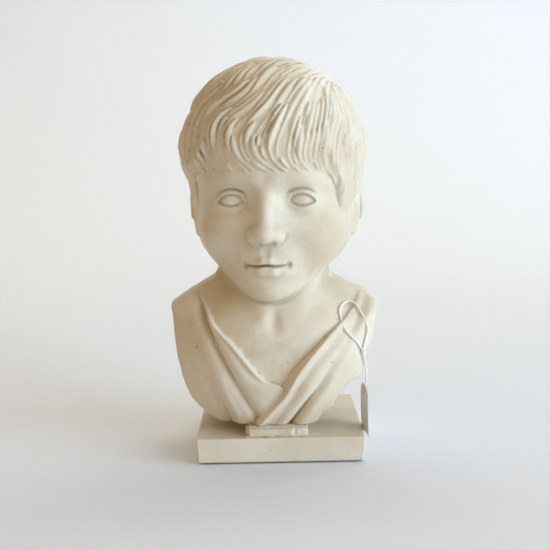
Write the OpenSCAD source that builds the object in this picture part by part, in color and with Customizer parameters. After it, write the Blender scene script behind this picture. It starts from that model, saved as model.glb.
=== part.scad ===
// Marble bust of a boy in a folded tunic, on a square base, with a swing tag hung from its shoulder.
// Origin: the centre of the underside. +Z is up and the face looks along -Y. Millimetres.

/* [Base] */
// Side of the square base at its top
base_side = 145; // [130:1:160]
// Height of the base's top above the table, felt included
base_top = 23; // [20:1:30]
// How far each side of the base leans in towards the bottom
base_draft = 1.2; // [0.4:0.1:3]
// Bevel along the base's top and bottom edges
base_bevel = 0.8; // [0.4:0.1:2]
// Thickness of the felt glued under the base
felt_thickness = 1.5; // [1:0.5:3]
// How far the felt is set in from the base's edge
felt_inset = 2.5; // [1:0.5:6]

/* [Support block] */
// Width of the block between the bust and the base
block_width = 54; // [40:1:56]
// Depth of the block, front to back
block_depth = 84; // [70:1:90]
// Distance from the base's front edge to the block's front
block_setback = 3; // [3:1:12]
// Sideways shift of the block's middle from the rod
block_shift = -4; // [-6:1:2]
// Gap between the base and the bust, which the block and its two beds fill
block_height = 8; // [8:1:14]
// Thickness of each bed of setting plaster
bed_thickness = 1; // [0.5:0.5:2]

/* [Fixing rod] */
// Diameter of the threaded rod
rod_diameter = 8; // [6:1:10]
// How far the rod stands behind the base's centre
rod_y = -12; // [-20:1:0]
// How far the rod reaches into the bust
rod_reach = 62; // [40:1:80]
// Diameter of the plug of grout around the rod
grout_diameter = 16; // [14:1:22]
// Diameter of the recess for the nut
recess_diameter = 30; // [26:1:40]
// Depth of the recess for the nut
recess_depth = 12; // [11:0.5:14]

/* [Bust] */
// Height of the crown of the hair above the table
overall_height = 349; // [346:1:352]
// Turn of the head to its right
head_turn = 6; // [0:1:12]
// Nod of the head
head_nod = 2; // [0:1:6]
// Thickness of the cloth over the skin of the chest
cloth_thickness = 4; // [2:0.5:5]
// Width of the pillar behind the chest
pillar_width = 40; // [34:1:46]

/* [Swing tag] */
// Height of the card
tag_height = 44; // [36:1:46]
// Width of the card
tag_width = 27; // [20:1:30]
// Thickness of the card
tag_thickness = 0.6; // [0.4:0.1:1]
// Turn of the card about the vertical, from edge-on
tag_turn = 8; // [0:1:20]
// Diameter of the string
string_diameter = 2.1; // [1.5:0.1:2.4]

/* [Hidden] */

STONE = [0.86, 0.83, 0.76];
PLASTER = [0.80, 0.76, 0.68];
STEEL = [0.62, 0.63, 0.65];
FELT = [0.20, 0.30, 0.22];
WHITE = [0.93, 0.93, 0.92];
BRASS = [0.80, 0.66, 0.36];

fit_gap = 0.2;
centre_x = 0.5;
block_bottom = base_top + bed_thickness;
block_top = base_top + block_height - bed_thickness;
bust_bottom = base_top + block_height;
block_front = block_setback - base_side / 2;
block_left = centre_x + block_shift - block_width / 2;
block_draft = 0.8;

washer_thickness = 2;
washer_diameter = 24;
nut_height = 6.5;
nut_across_flats = 13;
nut_top = felt_thickness + recess_depth - washer_thickness;
rod_bottom = felt_thickness + 1;
rod_top = bust_bottom + rod_reach;
grout_cover = 1.5;

// Centre of the head, from which its masses are placed
crown_above_centre = 108;
head_centre = [-2, 12, overall_height - crown_above_centre];

// A ball stretched to three radii
module ball(centre, radii, facets = 24)
    translate(centre) scale(radii) sphere(r = 1, $fn = facets);

// The same ball on the left and on the right
module ball_pair(centre, radii, facets = 16)
    for (side = [-1, 1])
        ball([side * centre[0], centre[1], centre[2]], radii, facets);

// ---- Head ----

// The hair is a cap with locks on it, trimmed along a plane from the forehead down to the nape
hair_centre = [0, 9, 22];
hair_radii = [82, 93, 84];
hairline_front = [-86, 13];
hairline_slope = 29;

module below_hairline()
    translate([0, hairline_front[0], hairline_front[1]])
        rotate([-hairline_slope, 0, 0])
            translate([-120, -60, -240])
                cube([240, 340, 240]);

// Point on the hair, at an angle round the head (0 is the front) and an angle down from the crown
function hair_point(round_angle, down_angle) =
    hair_centre + [
        hair_radii[0] * sin(round_angle) * sin(down_angle),
        -hair_radii[1] * cos(round_angle) * sin(down_angle),
        hair_radii[2] * cos(down_angle)
    ];

// How far down the hair reaches at each angle round the head
front_reach = 88;
side_reach = 118;
nape_reach = 150;
function hair_reach(round_angle) =
    let (way_back = (1 - cos(round_angle)) / 2)
    front_reach + (nape_reach - front_reach) * way_back
        + (side_reach - (front_reach + nape_reach) / 2) * pow(sin(round_angle), 2);

// One tapering lock, which swings sideways as it comes down
lock_radius = 6;
lock_taper = 0.45;
lock_swing = 12;
lock_steps = 3;
module lock(round_angle, top_angle)
    for (step = [0 : lock_steps - 1])
        hull()
            for (t = [step / lock_steps, (step + 1) / lock_steps])
                translate(hair_point(
                    round_angle - lock_swing * sin(180 * t),
                    top_angle + (hair_reach(round_angle) - top_angle) * t))
                    sphere(r = lock_radius * (1 - lock_taper * t), $fn = 6);

lock_count = 26;
upper_start = 24;
lower_start = 46;
module hair() {
    difference() {
        ball(hair_centre, hair_radii, 40);
        below_hairline();
    }
    for (index = [0 : lock_count - 1])
        lock((index + 0.5) * 360 / lock_count, index % 2 == 0 ? upper_start : lower_start);
}

module face_mass()
    hull() {
        ball([0, 8, 20], [72, 84, 72], 28);
        ball_pair([25, -30, -48], [38, 42, 36], 20);
        ball([0, -56, -84], [24, 18, 20], 14);
    }

module eyes() {
    ball_pair([30, -62, -14], [14, 13, 9], 14);
}

module eye_hollows() ball_pair([30, -90, -12], [20, 20, 12], 16);

module nose() {
    hull() {
        ball([0, -76, -6], [6, 6, 6], 10);
        ball([0, -88, -41], [7.5, 7.5, 6.5], 12);
    }
    hull() {
        ball([0, -83, -43], [6, 7, 5], 10);
        ball_pair([10, -76, -45], [5, 7, 5], 10);
    }
}

module lips() {
    hull() {
        ball([0, -78, -63], [8, 6, 3.5], 10);
        ball_pair([17, -70, -67], [4, 4, 2], 8);
    }
    hull() {
        ball([0, -77, -72], [10, 6, 4.5], 10);
        ball_pair([15, -70, -68], [4, 4, 2], 8);
    }
}

module ears()
    for (side = [-1, 1])
        hull() {
            ball([side * 73, 12, -20], [5, 14, 14], 12);
            ball([side * 71, 4, -44], [5, 7, 8], 12);
        }

module head()
    translate(head_centre)
        rotate([head_nod, 0, -head_turn]) {
            difference() {
                face_mass();
                eye_hollows();
            }
            eyes();
            nose();
            lips();
            ears();
            hair();
        }

// ---- Neck and chest ----

neck_radius = 46;
module neck()
    hull() {
        ball([-2, 22, 205], [neck_radius, neck_radius, 30], 28);
        ball([-3, 6, 128], [neck_radius + 12, neck_radius + 2, 26], 28);
    }

// Chest and shoulders as one rounded mass, swollen by grow
chest_centre = [0, -2, 76];
chest_radii = [90, 66, 72];
module chest_mass(grow = 0)
    hull() {
        ball(chest_centre, chest_radii + [grow, grow, grow], 40);
        ball_pair([82, 12, 110], [28 + grow, 26 + grow, 22 + grow], 20);
        ball([-3, 12, 138], [50 + grow, 40 + grow, 14 + grow], 24);
    }

// What is cut off behind the chest, along a plane that leans back
back_slant = 17;
back_depth = 32;
module behind_chest()
    translate([0, back_depth, bust_bottom])
        rotate([-back_slant, 0, 0])
            translate([-150, 0, -100])
                cube([300, 150, 300]);

// Front outline of the bust, from the left shoulder down round the broken lower edge to the right shoulder
bust_outline = [
    [-60, 151], [-82, 140], [-97, 130], [-93, 118], [-92, 88], [-86, 64], [-78, 48], [-66, 37], [-50, 32],
    [-30, 31], [20, 31], [33, 37], [44, 48], [53, 57], [61, 65], [73, 66], [76, 80],
    [82, 96], [86, 118], [89, 131], [80, 137], [68, 141], [49, 151], [40, 190], [-45, 190]
];
// The opening of the tunic's neck
neck_opening = [
    [-68, 141], [-55, 118], [-40, 99], [-19, 76], [3, 66], [28, 92], [53, 119], [68, 143], [60, 220], [-60, 220]
];

// A front view outline, stood up and made this deep
module standing(outline, depth = 300)
    translate([0, depth / 2, 0])
        rotate([90, 0, 0])
            linear_extrude(height = depth)
                polygon(outline);

module cloth()
    difference() {
        chest_mass(cloth_thickness);
        standing(neck_opening);
    }

// The cloth's front, as a depth at a place across the chest and a height
function cloth_front(across, height) =
    let (
        radii = chest_radii + [cloth_thickness, cloth_thickness, cloth_thickness],
        inside = 1 - pow((across - chest_centre[0]) / radii[0], 2) - pow((height - chest_centre[2]) / radii[2], 2)
    )
    chest_centre[1] - radii[1] * sqrt(max(0.05, inside));

// A rounded ridge that lies on the cloth, through points given as [across, height]
module fold(points, radius)
    for (index = [0 : len(points) - 2])
        hull()
            for (point = [points[index], points[index + 1]])
                translate([point[0], cloth_front(point[0], point[1]), point[1]])
                    sphere(r = radius, $fn = 8);

left_roll = [[-63, 134], [-54, 114], [-36, 94], [-16, 74], [4, 64]];
right_roll = [[54, 120], [40, 104], [22, 84], [4, 62], [-8, 40]];
folds_below = [
    [[-76, 118], [-62, 92], [-44, 66], [-28, 44]],
    [[-82, 84], [-70, 66], [-56, 48]],
    [[70, 106], [54, 82], [40, 62], [26, 46]],
    [[46, 98], [34, 78], [20, 58], [10, 42]]
];
roll_radius = 4;
fold_radius = 4.5;
module folds() {
    fold(left_roll, roll_radius);
    fold(right_roll, roll_radius);
    for (points = folds_below)
        fold(points, fold_radius);
}

// The back is hollowed out on each side of the central pillar
hollow_wall = 26;
module hollow()
    hull() {
        ball([0, 30, 78], [62, 66 - hollow_wall / 2, 40], 28);
        translate([-58, 20, bust_bottom - 20])
            cube([116, 90, 2]);
    }

pillar_top = 112;
pillar_front = -48;
pillar_back = 22;
module pillar()
    hull() {
        translate([centre_x - pillar_width / 2, pillar_front, bust_bottom])
            cube([pillar_width, pillar_back - pillar_front, 4]);
        translate([centre_x - pillar_width / 2 - 4, -40, pillar_top])
            cube([pillar_width + 8, 40 + back_depth, 4]);
    }

module draped_chest()
    difference() {
        intersection() {
            union() {
                chest_mass();
                cloth();
                folds();
            }
            standing(bust_outline);
        }
        behind_chest();
        hollow();
    }

module bust()
    color(STONE)
        difference() {
            union() {
                head();
                draped_chest();
                neck();
                pillar();
            }
            translate([centre_x, rod_y, bust_bottom - 1])
                cylinder(d = grout_diameter + 2 * fit_gap, h = rod_reach + grout_cover + 1.5, $fn = 48);
            translate([-150, -150, bust_bottom - 60])
                cube([300, 300, 60]);
        }

// ---- Support, base and fixing ----

module rod_hole(diameter, bottom, top)
    translate([centre_x, rod_y, bottom - 1])
        cylinder(d = diameter, h = top - bottom + 2, $fn = 48);

module support_block()
    color(STONE)
        difference() {
            hull() {
                translate([block_left - block_draft, block_front - block_draft, block_bottom])
                    cube([block_width + 2 * block_draft, block_depth + 2 * block_draft, 1]);
                translate([block_left, block_front, block_top - 1])
                    cube([block_width, block_depth, 1]);
            }
            rod_hole(rod_diameter + 2 * fit_gap, block_bottom, block_top);
        }

module setting_bed(bottom, spread)
    color(PLASTER)
        difference() {
            translate([block_left - spread, block_front - spread, bottom])
                cube([block_width + 2 * spread, block_depth + 2 * spread, bed_thickness]);
            rod_hole(rod_diameter + 2 * fit_gap, bottom, bottom + bed_thickness);
        }

module upper_setting_bed() setting_bed(block_top, -2);

module lower_setting_bed() setting_bed(base_top, block_draft);

// A square slab of a given side, centred on the origin's axis
module square_slab(side, bottom, height)
    translate([-side / 2, -side / 2, bottom])
        cube([side, side, height]);

module base_slab() {
    bottom_side = base_side - 2 * base_draft;
    color(STONE)
        difference() {
            hull() {
                square_slab(bottom_side - 2 * base_bevel, felt_thickness, 0.1);
                square_slab(bottom_side, felt_thickness + base_bevel, 0.1);
                square_slab(base_side, base_top - base_bevel - 0.1, 0.1);
                square_slab(base_side - 2 * base_bevel, base_top - 0.1, 0.1);
            }
            rod_hole(rod_diameter + 2 * fit_gap, felt_thickness, base_top);
            translate([centre_x, rod_y, felt_thickness - 1])
                cylinder(d = recess_diameter, h = recess_depth + 1, $fn = 64);
        }
}

module threaded_rod()
    color(STEEL)
        translate([centre_x, rod_y, rod_bottom])
            cylinder(d = rod_diameter, h = rod_top - rod_bottom, $fn = 48);

module grout_plug()
    color(PLASTER)
        difference() {
            translate([centre_x, rod_y, bust_bottom])
                cylinder(d = grout_diameter, h = rod_reach + grout_cover, $fn = 48);
            rod_hole(rod_diameter, bust_bottom, rod_top - 1);
        }

module penny_washer()
    color(STEEL)
        translate([centre_x, rod_y, nut_top])
            difference() {
                cylinder(d = washer_diameter, h = washer_thickness, $fn = 64);
                translate([0, 0, -1])
                    cylinder(d = rod_diameter + 2 * fit_gap, h = washer_thickness + 2, $fn = 48);
            }

module hex_nut()
    color(STEEL)
        translate([centre_x, rod_y, nut_top - nut_height])
            difference() {
                cylinder(d = nut_across_flats / cos(30), h = nut_height, $fn = 6);
                translate([0, 0, -1])
                    cylinder(d = rod_diameter, h = nut_height + 2, $fn = 48);
            }

module felt_sheet()
    color(FELT)
        square_slab(base_side - 2 * base_draft - 2 * felt_inset, 0, felt_thickness);

// ---- Swing tag ----

// The string's route: a loop that lies on the shoulder, closed by its knot, then down to the card's eyelet
string_route = [
    [72.7, -48.9, 93], [67.7, -51.7, 101], [62, -51.7, 106.9], [57.4, -49.5, 112.4],
    [55, -40.7, 118.8], [54.1, -31.9, 125.7], [57.6, -23.3, 129.9], [63.5, -18.8, 131.5],
    [69, -22.3, 129.5], [73, -29, 123.5], [76.5, -37.2, 116.2], [78, -39.9, 110.2],
    [77.1, -42, 105.5], [74.5, -46.5, 98], [73.3, -50.2, 92.4], [74.6, -49.2, 83.4],
    [75.6, -48.2, 74], [75.5, -46.6, 65], [74.2, -44.5, 57]
];
string_sides = 8;
steps_per_span = 4;

// A smooth curve through the route's points (Catmull-Rom)
function route_point(points, index) = points[max(0, min(len(points) - 1, index))];
function smooth_point(points, index, t) =
    let (
        a = route_point(points, index - 1),
        b = route_point(points, index),
        c = route_point(points, index + 1),
        d = route_point(points, index + 2)
    )
    0.5 * (2 * b + (c - a) * t + (2 * a - 5 * b + 4 * c - d) * t * t + (3 * b - a - 3 * c + d) * t * t * t);
function smooth_route(points) = concat(
    [for (index = [0 : len(points) - 2], step = [0 : steps_per_span - 1])
        smooth_point(points, index, step / steps_per_span)],
    [points[len(points) - 1]]
);
function unit(vector) = vector / norm(vector);

// A round tube along a curve: one ring of points at each place, and a cap at each end
module swept_tube(curve, diameter, sides) {
    last = len(curve) - 1;
    ring_points = [
        for (index = [0 : last])
            let (
                along = unit(curve[min(last, index + 1)] - curve[max(0, index - 1)]),
                outward = unit(cross(along, [0.2, -1, 0.1])),
                other = cross(along, outward)
            )
            for (side = [0 : sides - 1])
                curve[index] + diameter / 2 * (cos(side * 360 / sides) * outward + sin(side * 360 / sides) * other)
    ];
    walls = [
        for (index = [0 : last - 1], side = [0 : sides - 1])
            let (next = (side + 1) % sides)
            [index * sides + side, (index + 1) * sides + side, (index + 1) * sides + next, index * sides + next]
    ];
    first_cap = [[for (side = [0 : sides - 1]) side]];
    last_cap = [[for (side = [sides - 1 : -1 : 0]) last * sides + side]];
    polyhedron(points = ring_points, faces = concat(walls, first_cap, last_cap), convexity = 6);
}

module tag_string()
    color(WHITE)
        swept_tube(smooth_route(string_route), string_diameter, string_sides);

// The card's frame: its eyelet at the origin, the card hanging below, nearly edge-on to the front
eyelet_below_top = 5;
eyelet_hole = 3;
eyelet_rim = 6.5;
eyelet_thickness = 1.4;
tag_corner = 6;
module at_eyelet()
    translate(string_route[len(string_route) - 1])
        rotate([0, 0, tag_turn])
            rotate([0, 90, 0])
                children();

module tag_card()
    color(WHITE)
        at_eyelet()
            translate([0, 0, -tag_thickness / 2])
                difference() {
                    linear_extrude(height = tag_thickness)
                        polygon([
                            [-eyelet_below_top, -tag_width / 2 + tag_corner],
                            [-eyelet_below_top, tag_width / 2 - tag_corner],
                            [-eyelet_below_top + tag_corner, tag_width / 2],
                            [tag_height - eyelet_below_top, tag_width / 2],
                            [tag_height - eyelet_below_top, -tag_width / 2],
                            [-eyelet_below_top + tag_corner, -tag_width / 2]
                        ]);
                    translate([0, 0, -1])
                        cylinder(d = eyelet_hole + 1, h = tag_thickness + 2, $fn = 32);
                }

module tag_eyelet()
    color(BRASS)
        at_eyelet()
            rotate_extrude($fn = 48)
                polygon([
                    [eyelet_hole / 2, -eyelet_thickness / 2], [eyelet_rim / 2, -eyelet_thickness / 2],
                    [eyelet_rim / 2, -tag_thickness / 2], [eyelet_hole / 2 + 0.5, -tag_thickness / 2],
                    [eyelet_hole / 2 + 0.5, tag_thickness / 2], [eyelet_rim / 2, tag_thickness / 2],
                    [eyelet_rim / 2, eyelet_thickness / 2], [eyelet_hole / 2, eyelet_thickness / 2]
                ]);

bust();
support_block();
base_slab();
upper_setting_bed();
lower_setting_bed();
threaded_rod();
grout_plug();
penny_washer();
hex_nut();
felt_sheet();
tag_string();
tag_card();
tag_eyelet();
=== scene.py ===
"""Marble bust of a boy, with its base and swing tag: the looks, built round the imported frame.

The stone is sculpted in millimetres, as distance fields that a mesh is then drawn around.
Every Blender object is in metres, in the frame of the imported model.
"""
import math

import bmesh
import bpy
import numpy as np
from mathutils import Matrix, Vector


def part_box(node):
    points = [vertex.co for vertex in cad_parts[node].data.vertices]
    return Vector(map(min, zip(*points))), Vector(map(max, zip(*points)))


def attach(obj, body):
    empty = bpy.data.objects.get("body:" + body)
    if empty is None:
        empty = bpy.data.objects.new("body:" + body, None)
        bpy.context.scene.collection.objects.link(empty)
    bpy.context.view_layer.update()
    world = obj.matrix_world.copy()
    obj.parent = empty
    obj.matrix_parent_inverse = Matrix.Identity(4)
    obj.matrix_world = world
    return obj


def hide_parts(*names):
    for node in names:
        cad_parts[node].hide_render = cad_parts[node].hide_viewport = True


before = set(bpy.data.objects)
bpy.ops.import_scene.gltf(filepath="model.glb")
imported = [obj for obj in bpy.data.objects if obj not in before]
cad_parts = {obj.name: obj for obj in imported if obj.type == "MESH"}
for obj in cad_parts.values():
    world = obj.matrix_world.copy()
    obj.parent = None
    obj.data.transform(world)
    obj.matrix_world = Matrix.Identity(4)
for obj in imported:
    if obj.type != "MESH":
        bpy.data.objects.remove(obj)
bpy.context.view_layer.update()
BODY = "root"
MM = 0.001


def node_box(name):
    """A CAD node's lowest and highest corners, in millimetres."""
    low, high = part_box(name)
    return np.array(low) / MM, np.array(high) / MM


# ---------------------------------------------------------------- Camera and light

CAMERA_PLACE = (-0.0022, -0.9002, 0.2766)
CAMERA_PITCH = math.radians(7.76)
CAMERA_ROLL = math.radians(-1.12)
CAMERA_LENS = 65.45
SENSOR_WIDTH = 36.0


def make_camera():
    data = bpy.data.cameras.new("camera")
    data.lens = CAMERA_LENS
    data.sensor_width = SENSOR_WIDTH
    camera = bpy.data.objects.new("camera", data)
    bpy.context.collection.objects.link(camera)
    level = Matrix.Rotation(math.radians(90) - CAMERA_PITCH, 4, "X")
    rolled = Matrix.Rotation(CAMERA_ROLL, 4, "Z")
    camera.matrix_world = Matrix.Translation(CAMERA_PLACE) @ level @ rolled
    bpy.context.scene.camera = camera


def area_light(name, place, target, size, power, colour):
    data = bpy.data.lights.new(name, "AREA")
    data.shape = "RECTANGLE"
    data.size, data.size_y = size
    data.energy = power
    data.color = colour
    light = bpy.data.objects.new(name, data)
    light.location = place
    light.rotation_euler = (Vector(target) - Vector(place)).to_track_quat("-Z", "Y").to_euler()
    bpy.context.collection.objects.link(light)


def make_lights():
    area_light("window", (2.75, -1.6, 0.95), (0, 0, 0.2), (2.8, 1.8), 108, (0.68, 0.84, 1.0))
    area_light("ceiling", (0.3, -0.4, 2.6), (0, 0, 0.2), (2.0, 2.0), 7, (0.43, 0.57, 1.0))
    area_light("warm_room", (-2.2, -1.6, 1.2), (0, 0, 0.2), (3.0, 3.0), 7, (1.0, 0.43, 0.06))
    area_light("wall_wash", (0.2, 1.15, 2.6), (0.2, 2.0, 0.7), (3.4, 0.5), 34, (1.0, 0.94, 0.79))


def make_world():
    """A warm fill from all round. Past the backdrop's edges the room itself looks pale."""
    world = bpy.data.worlds.new("studio")
    world.use_nodes = True
    tree = world.node_tree
    fill = tree.nodes["Background"]
    fill.inputs["Color"].default_value = (1.0, 0.74, 0.34, 1)
    fill.inputs["Strength"].default_value = 0.34
    room = tree.nodes.new("ShaderNodeBackground")
    room.inputs["Color"].default_value = (0.72, 0.74, 0.77, 1)
    seen = tree.nodes.new("ShaderNodeLightPath").outputs["Is Camera Ray"]
    either = tree.nodes.new("ShaderNodeMixShader")
    for source, socket in ((seen, 0), (fill.outputs[0], 1), (room.outputs[0], 2)):
        tree.links.new(source, either.inputs[socket])
    tree.links.new(either.outputs[0], tree.nodes["World Output"].inputs["Surface"])
    bpy.context.scene.world = world
    bpy.context.scene.view_settings.view_transform = "Standard"


# ---------------------------------------------------------------- Distance fields

def ball(p, centre, radii):
    """Nearly the distance to an ellipsoid: exact at its surface, and close to it nearby."""
    q = [(p[i] - centre[i]) / radii[i] for i in range(3)]
    spread = np.sqrt(q[0] ** 2 + q[1] ** 2 + q[2] ** 2)
    slope = np.sqrt(sum((q[i] / radii[i]) ** 2 for i in range(3)))
    return spread * (spread - 1) / np.maximum(slope, 1e-6)


def rod(p, start, end, start_radius, end_radius=None):
    """A round bar between two points, whose radius may change along it."""
    end_radius = start_radius if end_radius is None else end_radius
    along = [end[i] - start[i] for i in range(3)]
    length2 = sum(a * a for a in along)
    t = np.clip(sum((p[i] - start[i]) * along[i] for i in range(3)) / length2, 0, 1)
    gap = np.sqrt(sum((p[i] - start[i] - t * along[i]) ** 2 for i in range(3)))
    return gap - (start_radius + (end_radius - start_radius) * t)


def past_span(value, low, high):
    """How far a value is past the ends of a span: less than 0 inside it."""
    return np.abs(value - (low + high) / 2) - (high - low) / 2


def slab(p, low, high, rounding):
    """A box from its low to its high corner, with rounded edges."""
    q = [past_span(p[i], low[i], high[i]) + rounding for i in range(3)]
    outside = np.sqrt(sum(np.maximum(a, 0) ** 2 for a in q))
    inside = np.minimum(np.maximum(q[0], np.maximum(q[1], q[2])), 0)
    return outside + inside - rounding


def join(a, b, blend):
    """The union of two solids, with a fillet."""
    near = np.maximum(blend - np.abs(a - b), 0) / blend
    return np.minimum(a, b) - near * near * blend / 4


def carve(a, b, blend):
    """The first solid with the second cut out of it."""
    return -join(-a, b, blend)


def meet(a, b, blend):
    """What two solids share."""
    return -join(-a, -b, blend)


def bump(distance, width):
    """1 on a line and 0 well away from it."""
    return np.exp(-((distance / width) ** 2))


def ramp(value, start, end):
    """0 before start and 1 after end, with a smooth rise between them."""
    t = np.clip((value - start) / (end - start), 0, 1)
    return t * t * (3 - 2 * t)


def ripple(p, wavelength, seed, layers=7):
    """Smooth noise from -1 to 1: a sum of waves in random directions."""
    rng = np.random.default_rng(seed)
    total = 0
    for _ in range(layers):
        way = rng.normal(size=3)
        way *= 2 * math.pi / (wavelength * rng.uniform(0.7, 1.4)) / np.linalg.norm(way)
        total = total + np.sin(p[0] * way[0] + p[1] * way[1] + p[2] * way[2] + rng.uniform(0, 6.3))
    return total / math.sqrt(layers * 2)


def smooth_route(points, steps):
    """A smooth curve through the points (Catmull-Rom)."""
    points = np.array(points, float)
    padded = np.vstack((points[:1], points, points[-1:]))
    t = (np.arange(steps) / steps)[:, None]
    spans = []
    for a, b, c, d in zip(padded, padded[1:], padded[2:], padded[3:]):
        curve = 2 * b + (c - a) * t + (2 * a - 5 * b + 4 * c - d) * t ** 2 + (3 * b - a - 3 * c + d) * t ** 3
        spans.append(curve / 2)
    return np.vstack(spans + [points[-1:]])


def line_distance(u, v, points):
    """Distance in a plane to a line of points, and which side of it: more than 0 is to its right."""
    best = np.full(u.shape, 1e9, np.float32)
    side = np.zeros(u.shape, np.float32)
    for (u0, v0), (u1, v1) in zip(points, points[1:]):
        du, dv = u1 - u0, v1 - v0
        t = np.clip(((u - u0) * du + (v - v0) * dv) / (du * du + dv * dv), 0, 1)
        gap = np.hypot(u - u0 - t * du, v - v0 - t * dv)
        turn = (v - v0) * du - (u - u0) * dv
        closer = gap < best
        best = np.where(closer, gap, best)
        side = np.where(closer, -np.sign(turn), side)
    return best, side


def only_where(mask, p, field, elsewhere):
    """A field worked out only at the points that need it, with a simpler distance at the others."""
    result = np.array(elsewhere, np.float32)
    if mask.any():
        result[mask] = field(tuple(axis[mask] for axis in p))
    return result


# ---------------------------------------------------------------- Drawing a mesh round a field

# A cell's corners and edges. For each axis in turn, the other two axes and the corner one step along it
CORNERS = np.array([(i, j, k) for i in (0, 1) for j in (0, 1) for k in (0, 1)])
EDGES = [(a, b) for a in range(8) for b in range(a + 1, 8) if np.abs(CORNERS[a] - CORNERS[b]).sum() == 1]
AHEAD = ((1, 2, 4), (2, 0, 2), (0, 1, 1))
KEY_STEP = 2048
HALF_DIAGONAL = 0.87
FIELD_SLOPE_MOST = 1.35


def keys_of(cells):
    return (cells[:, 0] * KEY_STEP + cells[:, 1]) * KEY_STEP + cells[:, 2]


def sample(field, points, batch=400000):
    parts = []
    for start in range(0, len(points), batch):
        chunk = points[start:start + batch].astype(np.float32)
        parts.append(field((chunk[:, 0], chunk[:, 1], chunk[:, 2])))
    return np.concatenate(parts)


def surface_cells(field, low, high, cell, levels, slack):
    """The cells near the surface, found by halving coarse cells, with their corners' field values."""
    step = cell * 2 ** levels
    counts = np.ceil((np.array(high) - low) / step).astype(int) + 1
    cells = np.stack(np.meshgrid(*[np.arange(n) for n in counts], indexing="ij"), -1).reshape(-1, 3)
    for level in range(levels, 0, -1):
        step = cell * 2 ** level
        middle = np.array(low) + (cells + 0.5) * step
        near = np.abs(sample(field, middle)) < step * HALF_DIAGONAL * FIELD_SLOPE_MOST + slack
        cells = (cells[near][:, None, :] * 2 + CORNERS[None]).reshape(-1, 3)
    corners = (cells[:, None, :] + CORNERS[None]).reshape(-1, 3)
    unique, index = np.unique(keys_of(corners), return_inverse=True)
    first = np.zeros(len(unique), int)
    first[index.ravel()] = np.arange(len(corners))
    values = sample(field, np.array(low) + corners[first] * cell)
    return cells, values[index.ravel()].reshape(-1, 8)


def draw_surface(field, low, high, cell, levels=3, slack=0.0):
    """Points and four-sided faces round the field's zero surface (surface nets)."""
    low = np.array(low, float)
    cells, values = surface_cells(field, low, high, cell, levels, slack)
    crossing = (values.min(1) < 0) & (values.max(1) >= 0)
    cells, values = cells[crossing], values[crossing]
    total = np.zeros((len(cells), 3))
    count = np.zeros(len(cells))
    for a, b in EDGES:
        cut = (values[:, a] < 0) != (values[:, b] < 0)
        gap = np.where(cut, values[:, a] - values[:, b], 1)
        t = values[:, a] / gap
        total += np.where(cut[:, None], CORNERS[a] + t[:, None] * (CORNERS[b] - CORNERS[a]), 0)
        count += cut
    points = low + (cells + total / count[:, None]) * cell
    keys = keys_of(cells)
    order = np.argsort(keys)
    sorted_keys = keys[order]
    faces = []
    unit = np.eye(3, dtype=int)
    for side, other, end in AHEAD:
        cut = (values[:, 0] < 0) != (values[:, end] < 0)
        base = cells[cut]
        found = []
        whole = np.ones(len(base), bool)
        for back in (0 * unit[side], unit[side], unit[side] + unit[other], unit[other]):
            wanted = keys_of(base - back)
            place = np.minimum(np.searchsorted(sorted_keys, wanted), len(keys) - 1)
            whole &= sorted_keys[place] == wanted
            found.append(order[place])
        quad = np.stack(found, 1)[whole]
        inward = (values[cut][:, 0] < 0)[whole]
        quad[~inward] = quad[~inward][:, ::-1]
        faces.append(quad)
    return points, np.concatenate(faces)


def field_slope(field, points, reach=0.35):
    slope = np.zeros_like(points)
    for axis in range(3):
        step = np.zeros(3)
        step[axis] = reach
        slope[:, axis] = (sample(field, points + step) - sample(field, points - step)) / (2 * reach)
    return slope


def outward(field, points):
    """The direction straight out of the surface at each point."""
    slope = field_slope(field, points)
    return slope / np.maximum(np.linalg.norm(slope, axis=1), 1e-6)[:, None]


def settle(field, points, most):
    """Moves points onto the surface itself, by no more than the given distance."""
    slope = field_slope(field, points)
    size2 = np.maximum((slope ** 2).sum(1), 0.3)
    move = -(sample(field, points) / size2)[:, None] * slope
    length = np.linalg.norm(move, axis=1)
    return points + move * np.minimum(1, most / np.maximum(length, 1e-6))[:, None]


def hollow_of_field(field, points, reach):
    """How far each point lies in a hollow: more than 0 in a groove, less than 0 on an edge."""
    return (reach - sample(field, points + outward(field, points) * reach)) / reach


def mesh_from(name, points, faces):
    """A smooth-shaded object made from points in millimetres."""
    mesh = bpy.data.meshes.new(name)
    mesh.vertices.add(len(points))
    mesh.vertices.foreach_set("co", (np.asarray(points) * MM).astype(np.float32).ravel())
    mesh.loops.add(faces.size)
    mesh.loops.foreach_set("vertex_index", faces.astype(np.int32).ravel())
    mesh.polygons.add(len(faces))
    mesh.polygons.foreach_set("loop_start", np.arange(0, faces.size, faces.shape[1], dtype=np.int32))
    mesh.polygons.foreach_set("use_smooth", np.ones(len(faces), bool))
    mesh.update(calc_edges=True)
    mesh.validate()
    thing = bpy.data.objects.new(name, mesh)
    bpy.context.collection.objects.link(thing)
    return thing


def close_gaps(mesh):
    """Closes the gaps, a cell or two wide, left where two walls come nearer than a cell."""
    work = bmesh.new()
    work.from_mesh(mesh)
    rims = [edge for edge in work.edges if edge.is_boundary]
    bmesh.ops.holes_fill(work, edges=rims, sides=12)
    work.to_mesh(mesh)
    work.free()


def sculpt(name, field, low, high, cell, hollow_reach, slack=2.0, shape=None, keep=1.0):
    """An object drawn round a field, with its hollows noted. shape moves the points after they are drawn."""
    points, faces = draw_surface(field, np.array(low, float), high, cell, slack=slack)
    points = settle(field, points, cell * 0.5)
    thing = mesh_from(name, points, faces)
    close_gaps(thing.data)
    if keep < 1:
        thing = thinned(thing, keep)
        points = points_of(thing)
    add_attribute(thing, "hollow", hollow_of_field(field, points, hollow_reach))
    if shape is not None:
        set_points(thing, shape(points))
    return thing


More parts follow.
